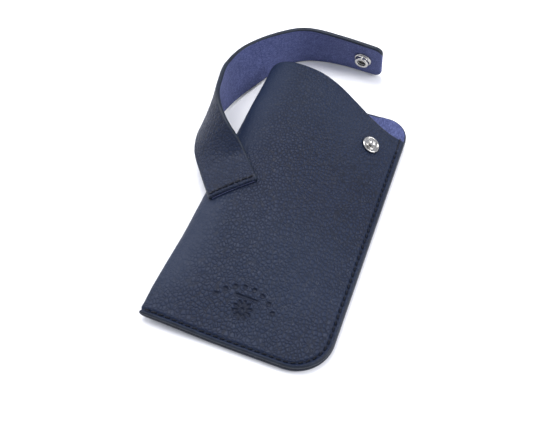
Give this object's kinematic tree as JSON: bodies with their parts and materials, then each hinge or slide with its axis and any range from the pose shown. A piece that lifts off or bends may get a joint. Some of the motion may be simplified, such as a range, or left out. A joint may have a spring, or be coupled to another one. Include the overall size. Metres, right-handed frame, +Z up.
{
  "type": "soft pouch glasses case",
  "caption": "Soft folded leather pouch for glasses, sewn along the bottom and one side, with a long closure strap and a press stud.",
  "frame": {"origin": "middle of the flat back panel's outer face, where the case lies on the table", "axes": "+X from the folded side to the sewn side, +Y from the closed end to the mouth, +Z up from the table through the front panel"},
  "size_m": [0.1132, 0.2059, 0.0332],
  "materials": {
    "navy_leather": "pebbled grain outside, blue-violet suede inside",
    "navy_thread": "waxed thread",
    "nickel": "bright nickel plate",
    "spring_steel": "drawn wire"
  },
  "bodies": {
    "case": {"case_leather": "navy_leather", "seam_thread": "navy_thread", "snap_stud": "nickel", "stud_eyelet": "nickel", "strap_root": "navy_leather", "strap_thread": "navy_thread"},
    "strap_a": {"strap_flex_1": "navy_leather"},
    "strap_b": {"strap_flex_2": "navy_leather"},
    "strap_c": {"strap_flex_3": "navy_leather"},
    "strap_d": {"strap_flex_4": "navy_leather"},
    "strap_e": {"strap_flex_5": "navy_leather"},
    "strap_end": {"strap_tip": "navy_leather", "snap_socket": "nickel", "socket_spring": "spring_steel", "snap_cap": "nickel"}
  },
  "joints": [
    {"name": "strap_lift", "type": "hinge", "parent": "case", "child": "strap_a", "pos_m": [-0.0416, 0.00504, 0.01787], "axis": [0.7208, 0.5998, 0.3474], "range_deg": [0, 60], "stiffness_Nm_per_rad": 0.03},
    {"name": "strap_bend_1", "type": "hinge", "parent": "strap_a", "child": "strap_b", "pos_m": [-0.0594, 0.02774, 0.02077], "axis": [0.4069, 0.3014, 0.8623], "range_deg": [-3.5, 16], "stiffness_Nm_per_rad": 0.12},
    {"name": "strap_bend_2", "type": "hinge", "parent": "strap_b", "child": "strap_c", "pos_m": [-0.0625, 0.05217, 0.0164], "axis": [-0.0204, 0.1953, 0.9805], "range_deg": [-3.5, 16]},
    {"name": "strap_bend_3", "type": "hinge", "parent": "strap_c", "child": "strap_d", "pos_m": [-0.0589, 0.07739, 0.01375], "axis": [-0.2768, 0.155, 0.9483], "range_deg": [-3.5, 16]},
    {"name": "strap_bend_4", "type": "hinge", "parent": "strap_d", "child": "strap_e", "pos_m": [-0.0434, 0.10215, 0.01429], "axis": [-0.0436, 0.0109, 0.999], "range_deg": [-3.5, 16]},
    {"name": "strap_bend_5", "type": "hinge", "parent": "strap_e", "child": "strap_end", "pos_m": [-0.02355, 0.11365, 0.01431], "axis": [0.0107, -0.1366, 0.9906], "range_deg": [-3.5, 16]}
  ],
  "couplings": [
    {"joint": "strap_bend_2", "follows": "strap_bend_1", "ratio": 1},
    {"joint": "strap_bend_3", "follows": "strap_bend_1", "ratio": 1},
    {"joint": "strap_bend_4", "follows": "strap_bend_1", "ratio": 1},
    {"joint": "strap_bend_5", "follows": "strap_bend_1", "ratio": 1}
  ]
}
